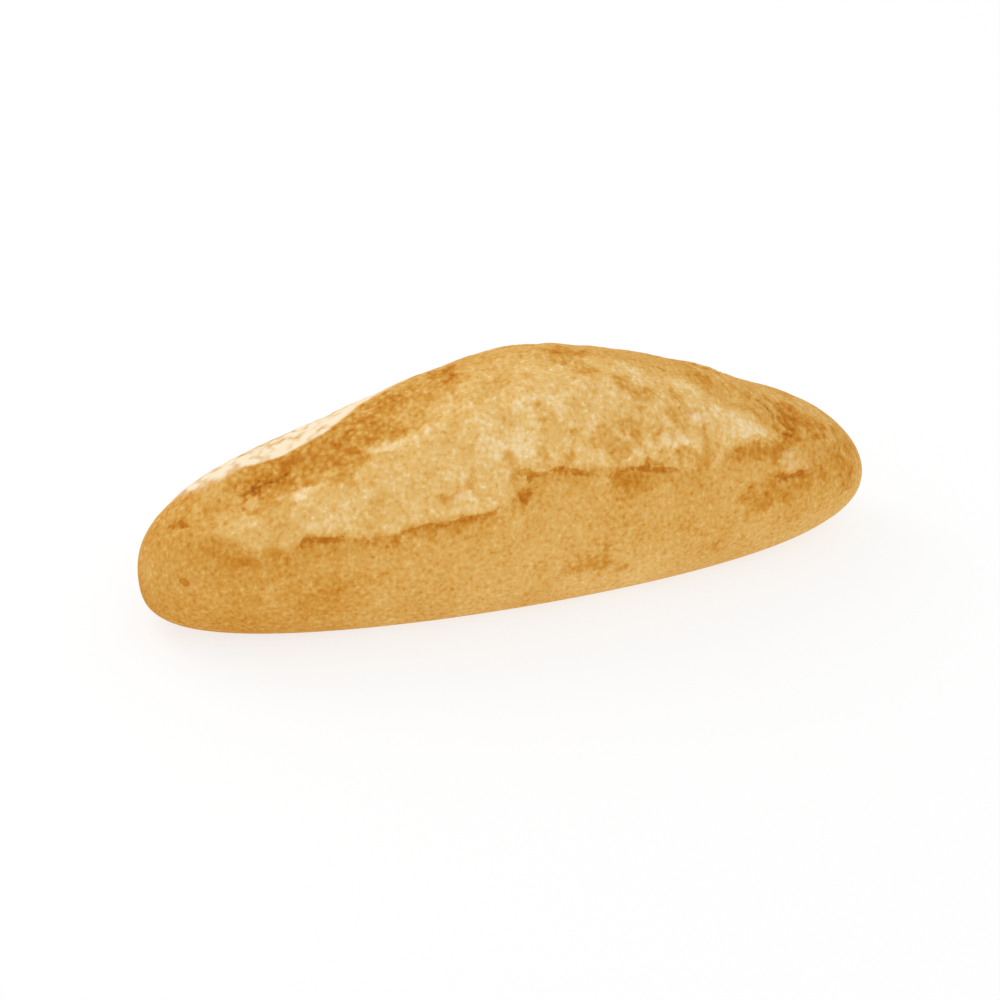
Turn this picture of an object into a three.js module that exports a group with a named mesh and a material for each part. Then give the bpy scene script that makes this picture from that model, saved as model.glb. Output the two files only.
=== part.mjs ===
import * as THREE from "three";

// A mini baguette: one solid spindle of bread with a flat base and one long slash that burst open in baking.
// Millimetres and degrees. +X runs along the loaf, +Z is up, and the open lip of the burst faces -Y.
// Angles around the loaf are taken from the crest, positive down the -Y side.

// The plain spindle
const LENGTH = 160;
const WIDTH = 56;
const CREST_RISE = 24;
const BELLY = 16;
const BELLY_AT_TIPS = [0.52, 0.62];
const UNDERSIDE = 23.5;
const BASE_ROUND = 2.5;
const PLAN_POWERS = [2, 2.6];
const CREST_POWERS = [[1.5, 2.6], [1.5, 2.4]];

// The oven spring: the hump over the burst, as a share of the crest's rise
const SPRING = { share: 0.3, x: 9, reach: 36 };

// The burst runs between a torn lip on the near side and an ear over the crest, whose toasted face
// slopes down to a foot; each line is given as [x, angle] knots
const LIP = [
  [-80, 40], [-69, 42], [-64, 55], [-57, 67], [-53.5, 66], [-51, 60], [-45, 64], [-38, 68], [-25, 68], [-14, 68.5],
  [-11, 66], [-8, 59], [-4, 58.5], [0, 58.5], [6, 62], [11, 63], [15, 62], [25, 63], [32, 64.5], [37, 60],
  [43, 53], [53, 47], [58, 49], [80, 60],
];
const EAR = [
  [-80, -60], [-70, -30], [-67.5, -14], [-65, -6.5], [-58, -2.5], [-54, 2], [-50, 3.5], [-45, 2.5], [-40, -1.5],
  [-34, -10.5], [-30, -17], [-20, -23], [-8, -28], [12, -31], [34, -29], [43, -22], [46, -10], [48, 5],
  [50.5, 17], [53, 32], [55, 40], [58, 42], [80, 30],
];
const FOOT = [
  [-80, 10], [-65, 18], [-51, 23], [-37, 19.5], [-26, 15], [-13, 5], [-7, 1], [5, 2], [17, 9], [28, 13], [37, 16],
  [41, 21], [47, 27], [53, 41], [58, 45], [80, 45],
];

// The lip stands a little over the crust and ends in a crease; it melts into the burst between two angles
// and fades out toward the burst's two tips
const LIP_TALL = 0.5;
const LIP_STEP = [-0.2, 1];
const LIP_MELT = [8, 56];
const CREASE = { deep: 0.5, wide: 1 };
const LIP_TIPS = [-75, -66, 46, 57];

// The ear's face drops from a raised edge to the foot, below the burst, which rises again across a valley
const EAR_TALL = 0.6;
const EAR_BACK = 5;
const EAR_FOOT = 0.9;
const EAR_VALLEY = 8;
const EAR_TIPS = [-74, -60, 46, 60];
const EAR_NARROWEST = 2;

// A short second slash by the +X end, with its own small lip and crease
const SECOND_LIP = [[-80, 80], [46, 80], [50, 74], [54, 72], [58, 70], [80, 69]];
const SECOND_REACH = [46, 52, 58, 62];
const SECOND_STEP = [-0.3, 0.6];
const SECOND_SWELL = { tall: 0.6, at: 2, wide: 4 };

// Dents: the pit where the lip steps up, and two nicks in the crust at the -X end
const DENTS = [
  { x: -7.5, angle: 65, long: 2.2, wide: 1.6, deep: 0.5 },
  { x: -72, angle: 18, long: 2.4, wide: 1.3, deep: 0.5 },
  { x: -73.5, angle: 71, long: 1.4, wide: 1, deep: 0.4 },
];

// Hand-shaped unevenness of the crust: its height, its pace along the loaf and its waves round it
const UNEVEN = 0.3;
const UNEVEN_ALONG = [8.5, 13.5];
const UNEVEN_ROUND = [3, 2];

// Mesh: stations along, and lines from base to far edge, ear, lip, near edge and base again
const STATIONS = 90;
const LINES = [6, 13, 17, 15, 6];
const BASE_EDGE = 128;
const CREST_LINE = 1;
const CROWDING = 0.85;
const PROBE = 0.5;

const CRUST_COLOUR = 0xd8a759;

const AROUND = LINES.reduce((total, count) => total + count, 0);
const HALF = LENGTH / 2;

function ease(from, to, value) {
  return THREE.MathUtils.smoothstep(value, from, to);
}

function bell(value, wide) {
  return Math.exp(-((value / wide) ** 2));
}

function fade([start, full, hold, end], x) {
  return ease(start, full, x) * (1 - ease(hold, end, x));
}

// A smooth line through knots that never swings past them
function lineThrough(knots) {
  const slopes = knots.slice(1).map(([x, angle], i) => (angle - knots[i][1]) / (x - knots[i][0]));
  const bends = knots.map((_, i) => {
    const before = slopes[Math.max(i - 1, 0)];
    const after = slopes[Math.min(i, slopes.length - 1)];
    return before * after > 0 ? (2 * before * after) / (before + after) : 0;
  });
  return (x) => {
    const next = knots.findIndex(([end]) => x <= end);
    const i = Math.max(next < 0 ? knots.length - 2 : next - 1, 0);
    const [startX, start] = knots[i];
    const [endX, end] = knots[i + 1];
    const span = endX - startX;
    const t = THREE.MathUtils.clamp((x - startX) / span, 0, 1);
    const blend = t * t * (3 - 2 * t);
    const lift = bends[i] * t * (1 - t) ** 2 - bends[i + 1] * t * t * (1 - t);
    return start + (end - start) * blend + span * lift;
  };
}

const lipAngle = lineThrough(LIP);
const earAngle = lineThrough(EAR);
const footAngle = lineThrough(FOOT);
const secondAngle = lineThrough(SECOND_LIP);

function round(share, [inner, outer]) {
  return Math.max(1 - Math.abs(share) ** inner, 0) ** (1 / outer);
}

// Point of the plain spindle; the underside meets the flat base in a rounded edge
function section(x, angle) {
  const plan = round(x / HALF, PLAN_POWERS);
  const spring = 1 + SPRING.share * bell(x - SPRING.x, SPRING.reach);
  const end = x < 0 ? 0 : 1;
  const rise = CREST_RISE * spring * round(x / HALF, CREST_POWERS[end]);
  const belly = BELLY * THREE.MathUtils.lerp(BELLY_AT_TIPS[end], 1, plan);
  const turn = THREE.MathUtils.degToRad(angle);
  const upright = Math.cos(turn);
  let z = belly + upright * (upright > 0 ? rise : UNDERSIDE * plan);
  if (z < BASE_ROUND) {
    z = Math.max(z + BASE_ROUND, 0) ** 2 / (4 * BASE_ROUND);
  }
  return new THREE.Vector3(x, -0.5 * WIDTH * plan * Math.sin(turn), z);
}

// Millimetres up the near side from a line to a point of the same section
function above(x, angle, line) {
  return Math.sign(line - angle) * section(x, angle).distanceTo(section(x, line));
}

function lipHeight(x, angle) {
  const up = above(x, angle, lipAngle(x));
  const swell = LIP_TALL * ease(...LIP_STEP, up) * ease(...LIP_MELT, angle);
  return fade(LIP_TIPS, x) * (swell - CREASE.deep * bell(up, CREASE.wide));
}

function earHeight(x, angle) {
  const ear = earAngle(x);
  const foot = footAngle(x);
  const behind = Math.max(above(x, angle, ear), 0);
  const beyond = -above(x, angle, foot);
  const down = (angle - ear) / Math.max(foot - ear, EAR_NARROWEST);
  const face = EAR_TALL * bell(behind, EAR_BACK) - (EAR_TALL + EAR_FOOT) * ease(0, 1, down);
  return fade(EAR_TIPS, x) * (face + EAR_FOOT * ease(0, EAR_VALLEY, beyond));
}

function secondHeight(x, angle) {
  const up = above(x, angle, secondAngle(x));
  const swell = SECOND_SWELL.tall * ease(...SECOND_STEP, up) * bell(up - SECOND_SWELL.at, SECOND_SWELL.wide);
  return fade(SECOND_REACH, x) * (swell - CREASE.deep * bell(up, CREASE.wide));
}

function dentDepth(x, angle) {
  return DENTS.reduce((depth, dent) => {
    const up = above(x, angle, dent.angle);
    return depth + dent.deep * bell(x - dent.x, dent.long) * bell(up, dent.wide);
  }, 0);
}

function unevenness(x, angle) {
  const turn = THREE.MathUtils.degToRad(angle);
  const swell = Math.sin(x / UNEVEN_ALONG[0] + UNEVEN_ROUND[0] * turn);
  const sway = Math.cos(x / UNEVEN_ALONG[1] - UNEVEN_ROUND[1] * turn);
  return UNEVEN * swell * sway * round(x / HALF, PLAN_POWERS);
}

function crustPoint(x, angle) {
  const point = section(x, angle);
  const upward = section(x, angle - PROBE).sub(section(x, angle + PROBE)).normalize();
  const outward = new THREE.Vector3(0, -upward.z, upward.y);
  const clear = ease(BASE_ROUND, 3 * BASE_ROUND, point.z);
  const height = lipHeight(x, angle) + earHeight(x, angle) + secondHeight(x, angle);
  return point.addScaledVector(outward, clear * (height + unevenness(x, angle) - dentDepth(x, angle)));
}

// Lines crowd together beside the landmarks, where the crust folds; the ear's line stays on the crest
function angleOfLine(x, line) {
  const landmarks = [-180, -BASE_EDGE, Math.min(earAngle(x), CREST_LINE), lipAngle(x), BASE_EDGE, 180];
  let span = 0;
  let left = line;
  while (left > LINES[span]) {
    left -= LINES[span];
    span += 1;
  }
  const t = left / LINES[span];
  const crowded = t - (CROWDING * Math.sin(2 * Math.PI * t)) / (2 * Math.PI);
  return THREE.MathUtils.lerp(landmarks[span], landmarks[span + 1], crowded);
}

function loafGeometry() {
  const ball = new THREE.SphereGeometry(1, AROUND, STATIONS);
  const places = ball.attributes.position;
  for (let i = 0; i < places.count; i++) {
    const station = Math.floor(i / (AROUND + 1));
    const line = i % (AROUND + 1);
    const x = HALF * Math.cos((Math.PI * station) / STATIONS);
    const point = crustPoint(x, angleOfLine(x, line));
    places.setXYZ(i, point.x, point.y, point.z);
  }
  ball.deleteAttribute("uv");
  ball.computeBoundingBox();
  const middle = ball.boundingBox.getCenter(new THREE.Vector3());
  ball.translate(-middle.x, -middle.y, 0);
  ball.computeVertexNormals();
  return ball;
}

const crust = new THREE.MeshStandardMaterial({ color: CRUST_COLOUR, roughness: 0.75 });
const loaf = new THREE.Mesh(loafGeometry(), crust);
loaf.name = "loaf";

const group = new THREE.Group();
group.name = "mini_baguette";
group.add(loaf);

export default group;
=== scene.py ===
import math
from types import SimpleNamespace

import bmesh
import bpy
import numpy as np
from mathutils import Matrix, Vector, noise


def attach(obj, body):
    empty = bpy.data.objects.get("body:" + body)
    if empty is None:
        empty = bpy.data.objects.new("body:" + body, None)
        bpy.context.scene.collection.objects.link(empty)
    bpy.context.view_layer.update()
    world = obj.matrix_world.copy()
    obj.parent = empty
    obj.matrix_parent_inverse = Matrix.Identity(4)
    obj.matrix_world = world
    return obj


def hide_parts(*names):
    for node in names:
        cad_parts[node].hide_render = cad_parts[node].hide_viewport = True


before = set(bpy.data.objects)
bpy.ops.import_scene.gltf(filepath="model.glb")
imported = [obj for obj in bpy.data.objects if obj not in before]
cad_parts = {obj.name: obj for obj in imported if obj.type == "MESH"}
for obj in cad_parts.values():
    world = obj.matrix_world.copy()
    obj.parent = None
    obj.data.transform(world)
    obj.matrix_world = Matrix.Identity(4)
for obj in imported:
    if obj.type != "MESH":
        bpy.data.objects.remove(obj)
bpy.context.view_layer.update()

# Sizes are millimetres and angles degrees. +X runs along the loaf and the burst's torn lip faces -Y.
# Angles around the loaf are taken from the crest, positive down the -Y side. A pair of limits says where
# a thing starts and where it is full; four x values say where it starts, is full, holds until and ends.
MM = 0.001

# The plain spindle, as the solid has it
LENGTH = 160
WIDTH = 56
CREST_RISE = 24
BELLY = 16
BELLY_AT_TIPS = (0.52, 0.62)
UNDERSIDE = 23.5
BASE_ROUND = 2.5
PLAN_POWERS = (2, 2.6)
CREST_POWER = 1.5
CREST_AT_TIPS = (2.6, 2.4)
SPRING_SHARE = 0.3
SPRING_X = 9
SPRING_REACH = 36
HALF = LENGTH / 2
MEAN_RADIUS = 0.25 * WIDTH + 0.5 * CREST_RISE

# The burst's torn lip, the ear's edge and the foot of the ear's toasted face, as knots of x and angle
LIP = (
    (-80, 40), (-69, 42), (-64, 55), (-57, 67), (-53.5, 66), (-51, 60), (-45, 64), (-38, 68), (-25, 68),
    (-14, 68.5), (-11, 66), (-8, 59), (-4, 58.5), (0, 58.5), (6, 62), (11, 63), (15, 62), (25, 63),
    (32, 64.5), (37, 60), (43, 53), (53, 47), (58, 49), (80, 60),
)
EAR = (
    (-80, -60), (-70, -30), (-67.5, -14), (-65, -6.5), (-58, -2.5), (-54, 2), (-50, 3.5), (-45, 2.5),
    (-40, -1.5), (-34, -10.5), (-30, -17), (-20, -23), (-8, -28), (12, -31), (34, -29), (43, -22),
    (46, -10), (48, 5), (50.5, 17), (53, 32), (55, 40), (58, 42), (80, 30),
)
FOOT = (
    (-80, 10), (-65, 18), (-51, 23), (-37, 19.5), (-26, 15), (-13, 5), (-7, 1), (5, 2), (17, 9),
    (28, 13), (37, 16), (41, 21), (47, 27), (53, 41), (58, 45), (80, 45),
)

# The lip stands a little over the crust and melts into the burst; its crease is crisp above and soft below
LIP_TALL = 0.35
LIP_STEP = (-0.2, 0.9)
LIP_MELT = (8, 56)
LIP_TIPS = (-75, -66, 46, 57)
LIP_RAGGED = 0.2
CREASE_DEEP = 0.45
CREASE_WIDE = (0.4, 0.9)

# The ear's face drops from a raised edge to its foot, and the burst rises again across a valley
EAR_TALL = 0.6
EAR_BACK = 5
EAR_FOOT = 0.9
EAR_VALLEY = 8
EAR_TIPS = (-74, -60, 46, 60)
EAR_RAGGED = 0.3
EAR_NARROWEST = 2

# How sharply the lip is torn along its length, and how toasted the ear's face is, as knots of x and share
LIP_TORN = (
    (-80, 0), (-69, 0.15), (-60, 0.35), (-52.5, 0.2), (-51.3, 1), (-45, 0.9), (-42.5, 0.3), (-36, 0.5),
    (-24, 0.5), (-16, 0.75), (-13.5, 0.7), (-11.5, 0), (-7, 0), (-5, 0.8), (6, 0.85), (8, 0.15),
    (11, 0.35), (16, 0.75), (20, 1), (25, 0.95), (27, 0.5), (34, 0.3), (43, 0.45), (52, 0.45), (57, 0),
    (80, 0),
)
TOASTED = (
    (-80, 0.2), (-72, 0.4), (-62, 0.65), (-52, 1.05), (-32, 1.1), (-24, 0.75), (-10, 0.4), (5, 0.2),
    (35, 0.15), (42, 0.3), (48, 0.35), (57, 0.3), (63, 0.1), (80, 0),
)

# The wrinkles where the ear comes round to the lip
WRINKLE_X = (40, 45, 54, 60)
WRINKLE_BAND = 4
WRINKLE_PITCH = 2.2
WRINKLE_SWAY = 2
WRINKLE_TALL = 0.25

# The short second slash: its lip, as knots of x and angle, its reach along, its swell and its crease
SECOND_LIP = ((-80, 80), (46, 80), (50, 74), (54, 72), (58, 70), (80, 69))
SECOND_REACH = (46, 52, 58, 62)
SECOND_TALL = 0.6
SECOND_STEP = (-0.3, 0.6)
SECOND_SWELL_UP = 2
SECOND_SWELL_WIDE = 4
SECOND_CREASE = 0.5

# Dents as x, angle, half length, half width, depth
DENTS = ((-7.5, 65, 2.2, 1.6, 0.5), (-72, 18, 2.4, 1.3, 0.5), (-73.5, 71, 1.4, 1, 0.4))

# Where the burst shows: its tips, its edge along the lip, softer where the lip is less torn, and its edge
# along the ear's foot, which it climbs over on the hump
BURST_TIPS = (-75, -63, 50, 56)
BURST_EDGE = (-0.4, 0.6)
BURST_RAGGED = 0.4
BURST_SOFT = 4
BURST_TOP = (-1.5, 4)
FOOT_RAGGED = 0.5
HUMP_CLIMB = 4.5
HUMP_REACH = (-20, -8, 32, 44)

# Lumps over the loaf as size, octaves and seed
LIP_LUMPS = (5, 3, 3.7)
EAR_LUMPS = (7, 3, 8.1)
BROAD_LUMPS = (16, 2, 1.3)
MIDDLING_LUMPS = (6, 3, 5.9)
SMALL_LUMPS = (2.2, 2, 2.2)
STRAY_LUMPS = ((4, 3, 6.6), (4, 3, 4.4))
NOISE_FALL = 1.0
NOISE_STEP = 2.0
NOISE_SPREAD = 0.32

# How far the lumps raise the crust and what the burst adds, and how deep a tear is as a share of the crease
BROAD_ROUGH = 0.2
MIDDLING_ROUGH = (0.05, 0.12)
SMALL_ROUGH = (0.03, 0.05)
TEAR_DEEP = 0.5

# Bake levels run from raw flour at 0 to burnt at 1. The crust and its lower rim are knots of x and level,
# and the burst counts for its least share at the -X end. The lower rim's shift is partly painted light: it
# darkens the rim toward the -X end and pales it toward +X, where it paints in light bounced from the floor
# and paints out the shade beside the floor.
CRUST_BAKE = ((-80, 0.52), (-60, 0.515), (-30, 0.45), (0, 0.46), (30, 0.475), (60, 0.49), (80, 0.46))
CRUST_UNEVEN = 0.02
RIM_BAKE_AND_PAINTED_LIGHT = ((-80, 0.1), (-40, 0.06), (-20, -0.01), (0, -0.04), (30, -0.06), (60, -0.09), (80, -0.22))
RIM_RISE = (16, 4)
BASE_BAKE = 0.06
BASE_RISE = (2, 0)
BURST_BAKE = 0.315
BURST_LEAST = 0.25
BURST_PALING = (-70, -28)
FACE_BAKE = 0.525
FACE_TOP = (-0.02, 0.1)
FACE_FOOT = (4.5, -1.5)
# Painted shade of the lip's overhang on the crust just below it: how much darker, how far below the lip and
# how wide
LIP_SHADE_BAKE = 0.085
LIP_SHADE_UP = -1
LIP_SHADE_WIDE = 2.5
# Painted light on the wrinkles: their crests paler as if lit and their troughs darker as if shaded
WRINKLE_PAINTED_LIGHT = -0.05
AMBER_BAKE = 0.04

# How strongly the crust, the burst, the ear's face, the lip, the wrinkles and the ridges show each mark
CRUST_MOTTLE = 0.14
BURST_MOTTLE = 0.3
FACE_MOTTLE = 0.25
AMBER_TOAST = 0.6
BURST_AMBER = 0.2
FACE_AMBER = 0.4
BURST_PALE = 0.3
# A painted highlight on the lip's upper edge, where its rim catches the light: how strong it is, how far
# above the lip and how wide
LIP_PAINTED_HIGHLIGHT = 0.12
LIP_HIGHLIGHT_UP = 1.8
LIP_HIGHLIGHT_WIDE = 1.4
CRACK_RAGGED = 0.12
SECOND_CRACK = 0.3
# Painted shade in the wrinkles' troughs
WRINKLE_PAINTED_SHADE = 0.3
RIDGE_FLOUR = 0.2

# Flour dusted behind the ear, painted paler than the flour alone as a highlight of the light from behind:
# its reach along the loaf, where it starts and is full up the far side, how ragged these are by x and by
# angle, how soft its edge is and what that gains toward the -X tip, and how thickly it lies far from the
# ear and what that gains beside it
FLOUR_REACH = (-82, -68, -36, 0)
FLOUR_FADE = (-70, -15)
FLOUR_RAGGED = (2, 5)
FLOUR_EDGE = (0.8, 2.5)
FLOUR_EDGE_X = (-54, -64)
FLOUR_SHARES = (0.65, 0.35)
FLOUR_BAND = 5
FLOUR_AND_HIGHLIGHT_COVER = 1.55

# A patch's stray and edge as shares of its half size, and a tear's as shares of its half width
PATCH_STRAY = 0.25
PATCH_EDGE = (1.4, 0.2)
TEAR_STRAY = (0.3, 0.5)
TEAR_RAGGED = 0.2
TEAR_EDGE = (1.4, 0.5)

# Amber patches as x, angle, half length, half width, strength
AMBER = (
    (59, 28, 4.5, 5, 1.3), (57.5, 38, 2.4, 4, 0.9), (54.5, 49, 3, 3, 0.9), (54, 52.5, 3, 2.6, 0.5),
    (51, 55.5, 4, 3, 0.55), (46, 56, 4, 2.2, 0.55), (41.5, 58, 4, 1.8, 0.5), (23.5, 28.5, 4, 3.4, 1.3),
    (19.5, 22.5, 3, 2.2, 1.1), (30.5, 26, 2, 2.4, 0.8), (13, 14, 3.5, 4, 1.1), (41.5, -6, 5, 7, 0.45),
    (16.5, 43, 2, 2.2, 0.9), (19, 44.5, 1.8, 3, 0.9), (11, 44.5, 3.5, 3.5, 0.6),
    (16, 52.5, 3.5, 1.8, 0.9), (25, 48, 3.5, 2.6, 0.9), (32.5, 35, 2.5, 3, 0.6), (13, 53, 3, 2.5, 0.7),
    (31, 59, 5, 2.5, 0.7), (29.5, 41, 2, 3.5, 0.8), (23.5, 58, 4.5, 1.5, 0.8), (34.5, 52.5, 4, 4, 0.5),
    (10.5, 62, 3.5, 2.5, 0.9), (-1, 55, 4, 2.2, 0.8), (-17, 51, 3, 3, 0.3), (0.5, 36, 3, 4, 0.6),
    (-37, 41, 3, 6, 0.35), (-22.5, 21, 3, 2.5, 0.6), (0, 20, 3, 4, 0.5), (-2.5, 51, 1.6, 1.4, 0.6),
    (-8.5, 48.5, 1.5, 1.5, 0.8), (-9, 54, 3, 2, 0.8), (-7.5, 64, 2.6, 2.6, 0.5), (-19, 56, 3, 2, 0.9),
    (-24, 59, 1.4, 2.5, 0.6), (-14, -9, 3.2, 6, 0.85), (-9, 14, 5, 3, 0.6), (12, -1.5, 7, 4.5, 1),
    (-2, 2, 6, 4, 0.4), (-49.5, 10, 4, 2, 0.6), (-38, 12, 3, 3, 0.6), (-26, -4, 3.5, 3, 0.8),
    (-41, 34, 2.5, 2, 0.7), (-56, 33, 4, 3, 0.8), (-46.5, 28, 1.8, 1.5, 0.6),
    (-44, 31.5, 1.8, 1.5, 0.6), (-40.5, 25, 1.8, 1.5, 0.6), (-36, 23.5, 1.2, 2, 0.8),
    (17.5, 66, 6.5, 3.2, 0.6), (15, 70.5, 3.5, 2.5, 0.4), (1, 100, 8, 5, 0.5), (44.5, 87, 5, 3, 0.5),
    (-55, 17, 5, 2.6, 0.4), (-36, 70, 8, 2.4, 0.5), (-23, 70, 10, 1.8, 0.7), (-61.5, 64, 6, 3, 0.65),
    (-47.5, 90, 7, 4, 0.5), (-52, 106, 6, 5, 0.5), (9, 103.5, 5.5, 4.5, 0.9), (36, 106, 4, 4.5, 0.5),
    (60, 72, 4, 4, 0.45), (45, 81, 5, 4, 0.5), (51.5, 77.5, 7, 4, 0.75), (70.5, 60, 5, 9, 0.7),
    (64, 34, 4, 6, 0.7), (-68, 53, 4, 3, 0.5),
)

# Dark scars and pores, given as the patches are
SCARS = (
    (5, 45, 1, 1, 0.9), (33, 2.5, 1.2, 1.6, 0.75), (15.5, 23.5, 0.8, 0.8, 0.6), (20, 59, 0.8, 1.8, 0.9),
    (47, 59, 0.7, 0.7, 0.6), (59, 33, 1.8, 2, 0.3), (57, 41, 1.8, 2, 0.3), (62, 67, 1.2, 1, 0.5),
    (43.5, 75.5, 1, 0.6, 0.6), (42.5, 81, 1, 0.6, 0.5), (-26, 17, 0.8, 0.9, 0.7),
    (-26, 24, 0.8, 0.8, 0.6), (-27, 27, 0.7, 0.7, 0.5), (-29.5, 27.5, 0.7, 0.7, 0.5),
    (-23.5, 28, 0.7, 0.7, 0.5), (-20, 28, 0.8, 0.7, 0.5), (-17.5, 24.5, 0.8, 0.8, 0.5),
    (-20.5, 16.5, 0.7, 0.8, 0.5), (-35, 27.5, 0.8, 0.8, 0.5), (-13, 47, 0.8, 0.7, 0.5),
    (-37, 6, 2, 1.2, 0.6), (-31, 5, 1.6, 1.2, 0.6),
)

# Short tears as x and angle of both ends, half width, strength
TEARS = (
    (-60, 19, -52, 18, 2.6, 0.75), (-74, 8, -72, 11, 0.6, 0.8), (-72, 11, -70.6, 24, 0.6, 0.9),
    (-74.5, 66.5, -73.3, 75.5, 0.6, 1.5), (51.5, 12.5, 54, 33, 0.6, 0.5), (-8.5, 55, -5, 58, 0.7, 0.9),
    (-5, 58, -6, 61, 0.6, 0.9), (-8.2, 63, -6.2, 63.5, 0.9, 0.6), (-7.4, 66, -5.8, 65, 0.8, 0.6),
    (50, 72.5, 54, 73, 1.1, 1.4), (53, 73, 57.5, 70.5, 0.8, 1), (46, 81.5, 48, 78.5, 0.5, 0.3),
    (49, 79, 50.5, 81, 0.45, 0.3),
)

# Pale ridges of folded crust, given as the tears are
RIDGES = (
    (47, 1, 50, 13, 1, 1), (53, 14.5, 56, 26, 1.1, 1.1), (62, 14, 69, 20, 1.4, 1),
    (-61, 39, -57, 27, 1.5, 0.6), (-73.5, 19, -71.5, 25, 0.8, 0.8),
)

# Pale and floury patches, given as the amber ones are
PALE = (
    (-28, 23, 13, 2.4, 0.7), (-30, 13, 3, 3, 1), (17.5, 38, 2.5, 2.5, 0.7), (-49.5, 33.5, 4, 2.4, 0.6),
    (48, 9, 4, 4, 0.6), (47, -10, 6, 7, 1.1), (58, 10, 8, 6, 1.1), (67, 18, 6, 6, 1.1),
    (-49.5, 21, 2.5, 2.5, 0.8), (13, 82, 5, 3, 0.5), (71, 86, 4, 6, 0.8), (27, 8, 4, 4, 0.7),
    (-64, 41, 4, 2.2, 0.7), (33, 40, 3, 4, 0.6), (38.5, 36, 3, 3, 0.8), (48, 42.5, 5, 3, 0.8),
    (27, 51, 4, 2, 0.6), (21, 54, 4, 1.6, 0.5), (4, 28, 5, 3, 0.5), (14, 20, 3, 3, 0.5),
    (-2, 30, 6, 4, 0.5), (-8, 40, 7, 5, 0.4), (-64, 0, 6, 5, 0.9), (-28, 74, 2.6, 1.4, 0.8),
    (-43, 80, 6, 3, 0.8), (-73, 24, 1.4, 1.4, 0.8), (56, 60.5, 4.5, 3.2, 1.2), (-11.5, 63, 3, 3, 0.8),
)
FLOURY = (
    (56, 60.5, 3.6, 2.8, 0.45), (63, 59, 2.4, 1.6, 0.4), (48, 42, 5, 2.6, 0.4),
    (37.5, 37.5, 4, 2.6, 0.6), (33, 40, 3, 3.5, 0.25), (27, 51, 4, 2, 0.4), (-49.5, 33.5, 4, 2.4, 0.6),
    (-30, 25, 12, 2, 0.35), (-20.5, 58.5, 1, 1, 0.6), (18.5, 81, 1.2, 0.9, 0.5), (5, 27, 4, 2.4, 0.25),
)

# Patches strewn over the far side: where they lie, how their length varies, how slim they are, and each
# kind's count, half length, strength and seed
STREWN_X = (-66, 66)
STREWN_ANGLE = (-125, -50)
STREWN_LENGTHS = (0.5, 1.5)
STREWN_SLIM = 0.6
STREWN_AMBER = (16, 5, 0.7, 3)
STREWN_PALE = (16, 4, 0.6, 8)
STREWN_SCARS = (14, 0.9, 0.6, 5)

# The crust's finish: marks kept on the mesh, and noise clouds as name, size and detail on a skin that is
# stretched across the loaf; then how strongly the clouds and the toasted blisters shift the bake level
BAKE_MARKS = ("bake_and_light", "mottle", "toast", "amber", "pale", "crack_and_shade", "flour_and_highlight")
CLOUDS = (("drifts", 7, 5), ("blotches", 2.4, 1.5), ("grain", 0.9, 3))
CLOUD_ROUGHNESS = 0.5
CLOUD_MIDDLE = 0.5
SKIN_STRETCH = 1.35
SKIN_TURN = -20
BLOTCH_SHARE = 0.45
GRAIN_SHARE = 0.35
SPECKLE_GAIN = 1.8
BLISTER = 1.3
BLISTER_DOME = (0.1, 0.8)
BLISTER_BAKE = (-0.1, 0.125)

# Marks that a cloud breaks up: mark, cloud, its gain, where the mark starts, where it is full, and how far
# the mark shifts the bake level
BROKEN_MARKS = (
    ("amber", "blotches", 2, 0.17, 0.95, 0.13), ("pale", "blotches", -2, 0.2, 1.1, -0.08),
    ("crack_and_shade", "grain", 1.6, 0.16, 0.85, 0.2), ("flour_and_highlight", "blotches", -2.5, 0.1, 1.45, 0),
)

# Colours by bake level, the colour of the flour and of the painted highlight behind the ear, and the crust's
# grain and dull surface
BAKE_COLOURS = (
    (0.0, "#f8e8c8"), (0.15, "#f0d4a0"), (0.3, "#e6bd75"), (0.45, "#dbaa5b"), (0.6, "#ce923b"),
    (0.75, "#c17a25"), (0.9, "#b16a20"), (1.0, "#9b581a"),
)
FLOUR_AND_HIGHLIGHT_COLOUR = "#f6e4c4"
GRAIN_DEEP = 0.25
GRAIN_BUMP = 0.5
CRUST_ROUGHNESS = 0.75
CRUST_SPECULAR = 0.03

# Mesh: stations along, and lines from base to far edge, ear, lip, near edge and base again; the ear's line
# stays on the crest
STATIONS = 320
LINES = (20, 66, 110, 80, 20)
BASE_EDGE = 128
CREST_LINE = 1
CROWDING = 0.6
OUTLINE_STEPS = 4000
PROBE = 0.5
TINY = 1e-9

# The photograph's camera
CAMERA_AZIMUTH = -20.5
CAMERA_ELEVATION = 26
CAMERA_DISTANCE = 496.3
CAMERA_AIM = (-2.9, 0.3, 15)
LENS = 85
SENSOR = 36

# The studio: a floor, a white tent round it, and lamps as name, place, aim, size, watts
WHITE = "#ffffff"
FLOOR_COLOUR = "#848484"
FLOOR_GLOW = 0.74
FLOOR_ROUGHNESS = 0.9
FLOOR_HALF = 3000
TENT_GLOW = 0.86
LAMPS = (
    ("key", (-150, -700, 500), (0, 0, 20), 600, 0.8),
    ("back", (-250, 500, 450), (-20, 0, 30), 400, 1.15),
)


def linear(hex_colour):
    """sRGB hex to the linear RGBA that Blender's sockets take."""
    parts = (int(hex_colour[i:i + 2], 16) / 255 for i in (1, 3, 5))
    return tuple(c / 12.92 if c <= 0.04045 else ((c + 0.055) / 1.055) ** 2.4 for c in parts) + (1.0,)


def ease(low, high, value):
    share = np.clip((value - low) / (high - low), 0, 1)
    return share * share * (3 - 2 * share)


def bell(value, wide):
    return np.exp(-((value / wide) ** 2))


def fade(tips, x):
    start, full, hold, end = tips
    return ease(start, full, x) * (1 - ease(hold, end, x))


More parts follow.
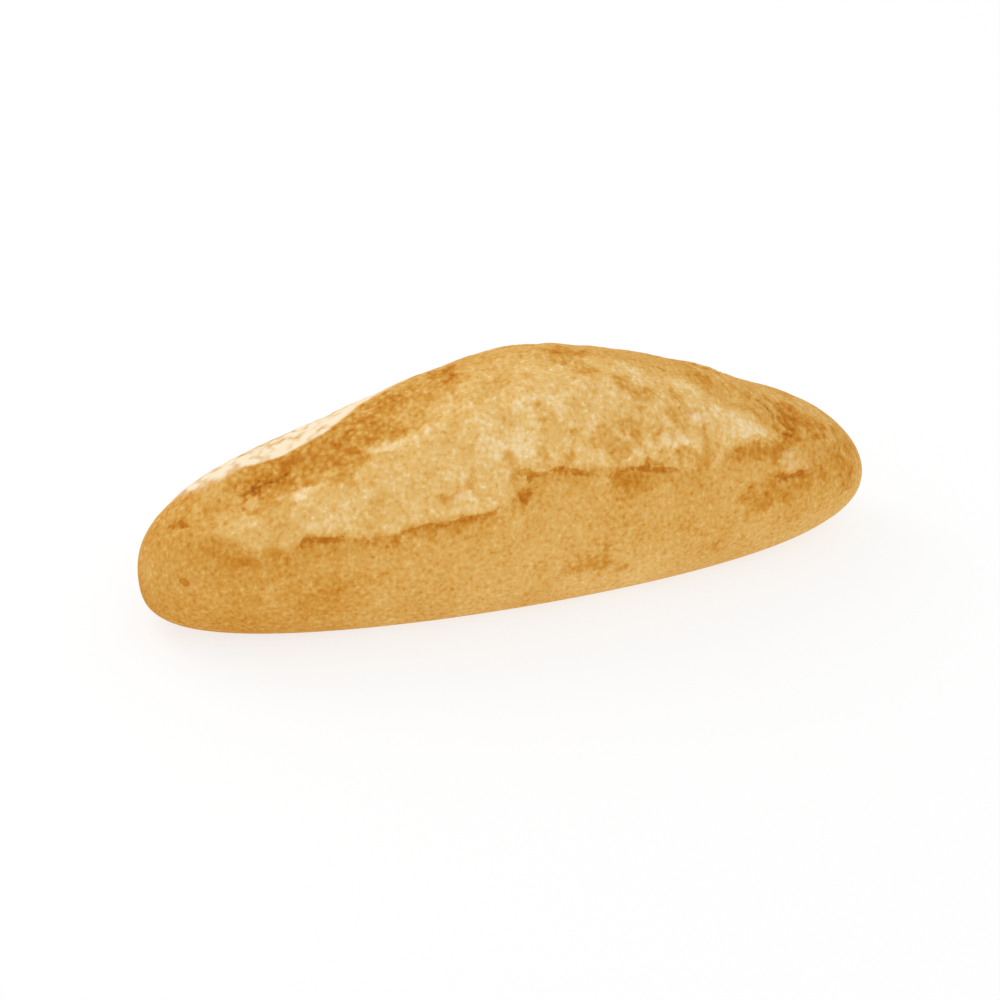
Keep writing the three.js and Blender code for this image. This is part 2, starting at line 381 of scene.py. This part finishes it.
def line_through(knots, x):
    """A smooth line through knots that never swings past them."""
    at, level = np.array(knots, float).T
    slopes = np.diff(level) / np.diff(at)
    before = np.append(slopes[:1], slopes)
    after = np.append(slopes, slopes[-1:])
    same_way = before * after > 0
    bends = np.where(same_way, 2 * before * after / np.where(same_way, before + after, 1), 0)
    left = np.clip(np.searchsorted(at, x) - 1, 0, len(at) - 2)
    span = at[left + 1] - at[left]
    t = np.clip((x - at[left]) / span, 0, 1)
    blend = t * t * (3 - 2 * t)
    lift = bends[left] * t * (1 - t) ** 2 - bends[left + 1] * t * t * (1 - t)
    return level[left] + (level[left + 1] - level[left]) * blend + span * lift


def rounded(share, powers):
    inner, outer = powers
    return np.maximum(1 - np.abs(share) ** inner, 0) ** (1 / outer)


def section(x, angle):
    """Points of the plain spindle; the underside meets the flat base in a rounded edge."""
    plan = rounded(x / HALF, PLAN_POWERS)
    spring = 1 + SPRING_SHARE * bell(x - SPRING_X, SPRING_REACH)
    rise = CREST_RISE * spring * rounded(x / HALF, (CREST_POWER, np.where(x < 0, *CREST_AT_TIPS)))
    at_tip = np.where(x < 0, *BELLY_AT_TIPS)
    belly = BELLY * (at_tip + (1 - at_tip) * plan)
    turn = np.radians(angle)
    upright = np.cos(turn)
    z = belly + upright * np.where(upright > 0, rise, UNDERSIDE * plan)
    z = np.where(z < BASE_ROUND, np.maximum(z + BASE_ROUND, 0) ** 2 / (4 * BASE_ROUND), z)
    return np.stack([x + 0 * turn, -0.5 * WIDTH * plan * np.sin(turn), z], axis=-1)


def above(x, angle, line):
    """Millimetres up the near side from a line to points of the same sections."""
    gap = section(x, angle) - section(x, line)
    return np.sign(line - angle) * np.linalg.norm(gap, axis=-1)


def lean(knots, spot):
    """How far a line's slant shortens distances that are measured round the loaf."""
    turn = line_through(knots, spot.x + PROBE) - line_through(knots, spot.x - PROBE)
    return 1 / np.hypot(1, np.radians(turn) / (2 * PROBE) * spot.reach)


def lumps(points, size, octaves, seed):
    """Soft noise of unit spread over the loaf, whose largest lumps are so many millimetres across."""
    places = [Vector(place) for place in points / size + seed]
    return np.array([noise.fractal(p, NOISE_FALL, NOISE_STEP, octaves) for p in places]) / NOISE_SPREAD


def patches(spot, rows):
    """Summed share of soft patches with straying edges at each point."""
    share = 0
    for at, turn, long, wide, strength in rows:
        along = (spot.x - at) / long + PATCH_STRAY * spot.stray[0]
        across = np.radians(spot.angle - turn) * spot.reach / wide + PATCH_STRAY * spot.stray[1]
        share += strength * ease(*PATCH_EDGE, np.hypot(along, across))
    return share


def strewn(count, size, strength, seed):
    """Patches strewn over the far side, which the burst leaves alone."""
    draw = np.random.default_rng(seed)
    long = size * draw.uniform(*STREWN_LENGTHS, count)
    x = draw.uniform(*STREWN_X, count)
    angle = draw.uniform(*STREWN_ANGLE, count)
    return np.stack([x, angle, long, STREWN_SLIM * long, np.full(count, strength)], axis=-1)


def tears(spot, rows):
    """Summed share of short tears or ridges at each point, each ragged and widest at its middle."""
    share = 0
    for x0, turn0, x1, turn1, wide, strength in rows:
        long = x1 - x0
        round_by = np.radians(turn1 - turn0) * spot.reach
        along = spot.x - x0 + TEAR_STRAY[0] * wide * spot.stray[0]
        across = np.radians(spot.angle - turn0) * spot.reach + TEAR_STRAY[1] * wide * spot.stray[1]
        t = np.clip((along * long + across * round_by) / (long ** 2 + round_by ** 2), 0, 1)
        gap = np.hypot(along - t * long, across - t * round_by) + TEAR_RAGGED * wide * spot.small
        share += strength * ease(*TEAR_EDGE, gap / (wide * (0.5 + 0.5 * np.sin(np.pi * t))))
    return share


def stations():
    """x of each ring from the +X tip to the -X tip, evenly spaced along the plan's outline."""
    turn = np.linspace(0, np.pi, OUTLINE_STEPS + 1)
    x = HALF * np.cos(turn)
    outline = np.stack([x, 0.5 * WIDTH * rounded(x / HALF, PLAN_POWERS)])
    travel = np.append(0, np.cumsum(np.linalg.norm(np.diff(outline), axis=0)))
    return np.interp(np.linspace(0, travel[-1], STATIONS + 1), travel, x)


def angles_of(lines, lip, ear):
    """Angle of each line; lines crowd together beside the landmarks, where the crust folds."""
    ends = np.cumsum((0,) + LINES)
    span = np.clip(np.searchsorted(ends, lines) - 1, 0, len(LINES) - 1)
    edge = np.full_like(lip, BASE_EDGE)
    landmarks = np.stack([-180 + 0 * edge, -edge, ear, lip, edge, 180 + 0 * edge])
    t = (lines - ends[span]) / np.array(LINES)[span]
    t = t - CROWDING * np.sin(2 * np.pi * t) / (2 * np.pi)
    every = np.arange(len(lines))
    low = landmarks[span, every]
    return low + (landmarks[span + 1, every] - low) * t


def survey(ball):
    """Where each point of a unit ball lies on the loaf, how far from the burst's lines, and its lumps."""
    ring = np.rint(np.arccos(np.clip(ball[:, 2], -1, 1)) / np.pi * STATIONS).astype(int)
    lines = (np.arctan2(ball[:, 1], ball[:, 0]) / (2 * np.pi) + 0.5) * sum(LINES)
    spot = SimpleNamespace(x=stations()[ring])
    spot.plan = rounded(spot.x / HALF, PLAN_POWERS)
    spot.reach = MEAN_RADIUS * spot.plan
    spine = np.stack([spot.x, 0 * spot.x, 0 * spot.x], axis=-1)
    per_degree = np.radians(0.5 * WIDTH)
    lip = line_through(LIP, spot.x) + LIP_RAGGED / per_degree * lumps(spine, *LIP_LUMPS)
    ear = line_through(EAR, spot.x) + EAR_RAGGED / per_degree * lumps(spine, *EAR_LUMPS)
    foot = line_through(FOOT, spot.x)
    spot.angle = angles_of(lines, lip, np.minimum(ear, CREST_LINE))
    spot.plain = section(spot.x, spot.angle)
    spot.up = above(spot.x, spot.angle, lip) * lean(LIP, spot)
    spot.down = -above(spot.x, spot.angle, ear) * lean(EAR, spot)
    spot.below = -above(spot.x, spot.angle, foot)
    spot.second = above(spot.x, spot.angle, line_through(SECOND_LIP, spot.x))
    spot.face = np.clip((spot.angle - ear) / np.maximum(foot - ear, EAR_NARROWEST), 0, 1)
    spot.tips = fade(LIP_TIPS, spot.x)
    spot.torn = spot.tips * np.maximum(line_through(LIP_TORN, spot.x), 0)
    spot.toasted = np.maximum(line_through(TOASTED, spot.x), 0)
    spot.broad = lumps(spot.plain, *BROAD_LUMPS)
    spot.middling = lumps(spot.plain, *MIDDLING_LUMPS)
    spot.small = lumps(spot.plain, *SMALL_LUMPS)
    spot.stray = [lumps(spot.plain, *row) for row in STRAY_LUMPS]
    wrinkle = np.cos(2 * np.pi * spot.down / WRINKLE_PITCH + WRINKLE_SWAY * spot.middling)
    spot.wrinkle = fade(WRINKLE_X, spot.x) * bell(spot.down, WRINKLE_BAND) * wrinkle
    spot.burst = burst_share(spot)
    spot.tears = tears(spot, TEARS)
    return spot


def burst_share(spot):
    soft = 1 + BURST_SOFT * (1 - spot.torn)
    start, full = BURST_EDGE
    share = ease(start * soft, full * soft, spot.up + BURST_RAGGED * spot.middling)
    share *= fade(BURST_TIPS, spot.x)
    climb = HUMP_CLIMB * fade(HUMP_REACH, spot.x)
    return share * ease(*BURST_TOP, spot.below + climb + FOOT_RAGGED * spot.middling)


def torn_edge(up):
    """A torn line: crisp on its upper side, soft below."""
    return np.where(up > 0, bell(up, CREASE_WIDE[0]), bell(up, CREASE_WIDE[1]))


def ear_relief(spot):
    back = EAR_TALL * bell(np.minimum(spot.down, 0), EAR_BACK)
    face = (EAR_TALL + EAR_FOOT) * ease(0, 1, spot.face)
    valley = EAR_FOOT * ease(0, EAR_VALLEY, spot.below)
    return fade(EAR_TIPS, spot.x) * (back - face + valley)


def second_relief(spot):
    swell = SECOND_TALL * ease(*SECOND_STEP, spot.second)
    swell *= bell(spot.second - SECOND_SWELL_UP, SECOND_SWELL_WIDE)
    return fade(SECOND_REACH, spot.x) * (swell - SECOND_CREASE * torn_edge(spot.second))


def crust_points(spot):
    """The plain spindle's points, raised and sunk by the burst's forms and the lumps, and centred."""
    step = section(spot.x, spot.angle - PROBE) - section(spot.x, spot.angle + PROBE)
    upward = step / np.maximum(np.linalg.norm(step, axis=-1, keepdims=True), TINY)
    outward = np.stack([0 * spot.x, -upward[:, 2], upward[:, 1]], axis=-1)
    height = spot.tips * LIP_TALL * ease(*LIP_STEP, spot.up) * ease(*LIP_MELT, spot.angle)
    height += ear_relief(spot) + second_relief(spot) + WRINKLE_TALL * spot.wrinkle
    height -= CREASE_DEEP * (spot.torn * torn_edge(spot.up) + TEAR_DEEP * np.minimum(spot.tears, 1))
    for at, turn, long, wide, deep in DENTS:
        height -= deep * bell(spot.x - at, long) * bell(np.radians(spot.angle - turn) * spot.reach, wide)
    rough = BROAD_ROUGH * spot.broad
    for (crust, burst), lump in ((MIDDLING_ROUGH, spot.middling), (SMALL_ROUGH, spot.small)):
        rough += (crust + burst * spot.burst) * lump
    clear = ease(BASE_ROUND, 3 * BASE_ROUND, spot.plain[:, 2])
    places = spot.plain + outward * (clear * (height + spot.plan * rough))[:, None]
    places[:, 1] -= 0.5 * (places[:, 1].min() + places[:, 1].max())
    return places


def flour_and_painted_highlight(spot):
    """How thickly the flour and the painted highlight behind the ear lie at each point; the edge is crisp
    along the ear.
    """
    ragged_x, ragged_angle = FLOUR_RAGGED
    crisp, blur = FLOUR_EDGE
    least, extra = FLOUR_SHARES
    edge = crisp + blur * ease(*FLOUR_EDGE_X, spot.x)
    dust_and_highlight = ease(edge, -edge, spot.down) * fade(FLOUR_REACH, spot.x + ragged_x * spot.middling)
    dust_and_highlight *= ease(*FLOUR_FADE, spot.angle + ragged_angle * spot.middling)
    return dust_and_highlight * (least + extra * bell(spot.down, FLOUR_BAND))


def bake_marks(spot):
    """How baked the crust is, with painted shade and light along the lip, the wrinkles and the lower rim,
    and how strongly each other mark shows, at each point.
    """
    rise = spot.plain[:, 2]
    foot = spot.below + FOOT_RAGGED * spot.middling
    face = ease(*FACE_TOP, spot.face) * ease(*FACE_FOOT, foot) * spot.toasted
    crust = line_through(CRUST_BAKE, spot.x) + CRUST_UNEVEN * spot.broad
    # The lower rim's shift is partly painted light: paler toward +X for the floor's bounced light, darker at
    # the -X end
    crust += line_through(RIM_BAKE_AND_PAINTED_LIGHT, spot.x) * ease(*RIM_RISE, rise) + BASE_BAKE * ease(*BASE_RISE, rise)
    paling = BURST_LEAST + (1 - BURST_LEAST) * ease(*BURST_PALING, spot.x)
    bake_and_light = crust + (BURST_BAKE - crust) * spot.burst * paling + (FACE_BAKE - crust) * face * spot.toasted
    # Painted highlight on the wrinkles' crests and painted shade in their troughs
    # Painted shade of the lip's overhang darkens the crust just below the lip
    bake_and_light += LIP_SHADE_BAKE * spot.torn * bell(spot.up - LIP_SHADE_UP, LIP_SHADE_WIDE) + WRINKLE_PAINTED_LIGHT * spot.wrinkle
    # The lip's pale strip is a painted highlight along its upper edge
    pale = BURST_PALE * spot.burst + LIP_PAINTED_HIGHLIGHT * spot.torn * bell(spot.up - LIP_HIGHLIGHT_UP, LIP_HIGHLIGHT_WIDE)
    crack_and_shade = spot.torn * torn_edge(spot.up + CRACK_RAGGED * spot.small) + spot.tears
    crack_and_shade += SECOND_CRACK * fade(SECOND_REACH, spot.x) * torn_edge(spot.second)
    # Painted shade in the wrinkles' troughs joins the cracks' darkening
    crack_and_shade += WRINKLE_PAINTED_SHADE * np.maximum(-spot.wrinkle, 0)
    ridges = tears(spot, RIDGES)
    amber = patches(spot, AMBER)
    return {
        "bake_and_light": bake_and_light + AMBER_BAKE * amber,
        "mottle": CRUST_MOTTLE + BURST_MOTTLE * spot.burst + FACE_MOTTLE * face,
        "toast": np.clip(face + AMBER_TOAST * amber, 0, 1),
        "amber": BURST_AMBER * spot.burst + FACE_AMBER * face + amber + patches(spot, strewn(*STREWN_AMBER)),
        "pale": pale + ridges + patches(spot, PALE) + patches(spot, strewn(*STREWN_PALE)),
        "crack_and_shade": crack_and_shade + patches(spot, SCARS) + patches(spot, strewn(*STREWN_SCARS)),
        # The flour share is real flour, and behind the ear also a painted highlight
        "flour_and_highlight": FLOUR_AND_HIGHLIGHT_COVER * flour_and_painted_highlight(spot) + RIDGE_FLOUR * ridges + patches(spot, FLOURY),
    }


def make_loaf():
    bm = bmesh.new()
    bmesh.ops.create_uvsphere(bm, u_segments=sum(LINES), v_segments=STATIONS, radius=1)
    spot = survey(np.array([v.co for v in bm.verts], float))
    for vert, place in zip(bm.verts, crust_points(spot) * MM):
        vert.co = place
    mesh = bpy.data.meshes.new("loaf_crust")
    bm.to_mesh(mesh)
    bm.free()
    for name, values in bake_marks(spot).items():
        mesh.attributes.new(name, "FLOAT", "POINT").data.foreach_set("value", values)
    mesh.polygons.foreach_set("use_smooth", np.ones(len(mesh.polygons), bool))
    loaf = bpy.data.objects.new("loaf_crust", mesh)
    bpy.context.collection.objects.link(loaf)
    return loaf


def add(tree, kind, links=(), out=0, **settings):
    """Add a node and give its output; a link's value is another node's output or the input's own value."""
    node = tree.nodes.new(kind)
    for name, value in settings.items():
        setattr(node, name, value)
    for name, value in dict(links).items():
        if isinstance(value, bpy.types.NodeSocket):
            tree.links.new(value, node.inputs[name])
        else:
            node.inputs[name].default_value = value
    return node.outputs[out]


def baked_crust():
    """Baked wheat crust: dry, matt and fine-grained, cream where floured and where a highlight is painted
    behind the ear, and amber where toasted.
    """
    material = bpy.data.materials.new("baked_wheat_crust")
    material.use_nodes = True
    tree = material.node_tree
    shader = tree.nodes["Principled BSDF"]
    place = add(tree, "ShaderNodeTexCoord", out="Object")
    links = {"Vector": place, "Rotation": (0, 0, math.radians(SKIN_TURN)), "Scale": (1, SKIN_STRETCH, 1)}
    skin = add(tree, "ShaderNodeMapping", links, vector_type="TEXTURE")
    marks = {name: add(tree, "ShaderNodeAttribute", out="Fac", attribute_name=name) for name in BAKE_MARKS}
    clouds = {}
    spreads = {}
    for name, size, detail in CLOUDS:
        links = {"Vector": skin, "Scale": 1 / (size * MM), "Detail": detail, "Roughness": CLOUD_ROUGHNESS}
        clouds[name] = add(tree, "ShaderNodeTexNoise", links)
        spreads[name] = add(tree, "ShaderNodeMath", {0: clouds[name], 1: CLOUD_MIDDLE}, operation="SUBTRACT")
    speckle = add(tree, "ShaderNodeMath", {0: spreads["grain"]}, operation="ABSOLUTE")
    links = {0: speckle, 1: SPECKLE_GAIN, 2: GRAIN_SHARE}
    strengths = {
        "drifts": marks["mottle"],
        "blotches": add(tree, "ShaderNodeMath", {0: marks["mottle"], 1: BLOTCH_SHARE}, operation="MULTIPLY"),
        "grain": add(tree, "ShaderNodeMath", links, operation="MULTIPLY_ADD"),
    }
    level = marks["bake_and_light"]
    for name, strength in strengths.items():
        links = {0: spreads[name], 1: strength, 2: level}
        level = add(tree, "ShaderNodeMath", links, operation="MULTIPLY_ADD")
    shares = {}
    for name, cloud, gain, start, full, shift in BROKEN_MARKS:
        breaks = add(tree, "ShaderNodeMath", {0: spreads[cloud], 1: gain, 2: 1.0}, operation="MULTIPLY_ADD")
        broken = add(tree, "ShaderNodeMath", {0: marks[name], 1: breaks}, operation="MULTIPLY")
        links = {"Value": broken, "From Min": start, "From Max": full}
        shares[name] = add(tree, "ShaderNodeMapRange", links, interpolation_type="SMOOTHSTEP")
        level = add(tree, "ShaderNodeMath", {0: shares[name], 1: shift, 2: level}, operation="MULTIPLY_ADD")
    cells = add(tree, "ShaderNodeTexVoronoi", {"Vector": skin, "Scale": 1 / (BLISTER * MM)}, out="Distance")
    limits = zip(("From Min", "From Max", "To Min", "To Max"), BLISTER_DOME + BLISTER_BAKE)
    blisters = add(tree, "ShaderNodeMapRange", {"Value": cells, **dict(limits)})
    level = add(tree, "ShaderNodeMath", {0: blisters, 1: marks["toast"], 2: level}, operation="MULTIPLY_ADD")
    ramp = add(tree, "ShaderNodeValToRGB", {"Fac": level})
    elements = ramp.node.color_ramp.elements
    while len(elements) < len(BAKE_COLOURS):
        elements.new(0.5)
    for element, (at, colour) in zip(elements, BAKE_COLOURS):
        element.position = at
        element.color = linear(colour)
    # The cream mixed in is flour's colour and, behind the ear, a painted highlight
    # The mix node's colours are its inputs 6 and 7 and its output 2
    links = {0: shares["flour_and_highlight"], 6: ramp, 7: linear(FLOUR_AND_HIGHLIGHT_COLOUR)}
    tree.links.new(add(tree, "ShaderNodeMix", links, out=2, data_type="RGBA"), shader.inputs["Base Color"])
    links = {"Height": clouds["grain"], "Strength": GRAIN_BUMP, "Distance": GRAIN_DEEP * MM}
    tree.links.new(add(tree, "ShaderNodeBump", links), shader.inputs["Normal"])
    shader.inputs["Roughness"].default_value = CRUST_ROUGHNESS
    shader.inputs["Specular IOR Level"].default_value = CRUST_SPECULAR
    return material


def white_paper():
    """White paper: matt and even, with a glow of its own that keeps it pale in the soft light."""
    material = bpy.data.materials.new("white_paper")
    material.use_nodes = True
    shader = material.node_tree.nodes["Principled BSDF"]
    shader.inputs["Base Color"].default_value = linear(FLOOR_COLOUR)
    shader.inputs["Roughness"].default_value = FLOOR_ROUGHNESS
    shader.inputs["Emission Color"].default_value = linear(WHITE)
    shader.inputs["Emission Strength"].default_value = FLOOR_GLOW
    return material


def make_floor():
    bm = bmesh.new()
    bmesh.ops.create_grid(bm, x_segments=1, y_segments=1, size=FLOOR_HALF * MM)
    mesh = bpy.data.meshes.new("floor")
    bm.to_mesh(mesh)
    bm.free()
    floor = bpy.data.objects.new("floor", mesh)
    bpy.context.collection.objects.link(floor)
    mesh.materials.append(white_paper())


def make_lamp(name, place, aim, size, watts):
    light = bpy.data.lights.new(name, "AREA")
    light.size = size * MM
    light.energy = watts
    lamp = bpy.data.objects.new(name, light)
    lamp.location = Vector(place) * MM
    lamp.rotation_euler = (Vector(aim) - Vector(place)).to_track_quat("-Z", "Y").to_euler()
    bpy.context.collection.objects.link(lamp)


def make_studio():
    world = bpy.data.worlds.new("white_tent")
    world.use_nodes = True
    background = world.node_tree.nodes["Background"]
    background.inputs["Color"].default_value = linear(WHITE)
    background.inputs["Strength"].default_value = TENT_GLOW
    scene = bpy.context.scene
    scene.world = world
    scene.view_settings.view_transform = "Standard"
    for row in LAMPS:
        make_lamp(*row)


def make_camera():
    camera = bpy.data.cameras.new("photo_view")
    camera.lens = LENS
    camera.sensor_width = SENSOR
    turn = math.radians(CAMERA_AZIMUTH)
    tilt = math.radians(CAMERA_ELEVATION)
    back = Vector((math.sin(turn) * math.cos(tilt), -math.cos(turn) * math.cos(tilt), math.sin(tilt)))
    eye = bpy.data.objects.new("photo_view", camera)
    eye.location = (Vector(CAMERA_AIM) + back * CAMERA_DISTANCE) * MM
    eye.rotation_euler = (-back).to_track_quat("-Z", "Y").to_euler()
    bpy.context.collection.objects.link(eye)
    bpy.context.scene.camera = eye


loaf = make_loaf()
loaf.data.materials.append(baked_crust())
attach(loaf, "root")
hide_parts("loaf")

make_floor()
make_studio()
make_camera()
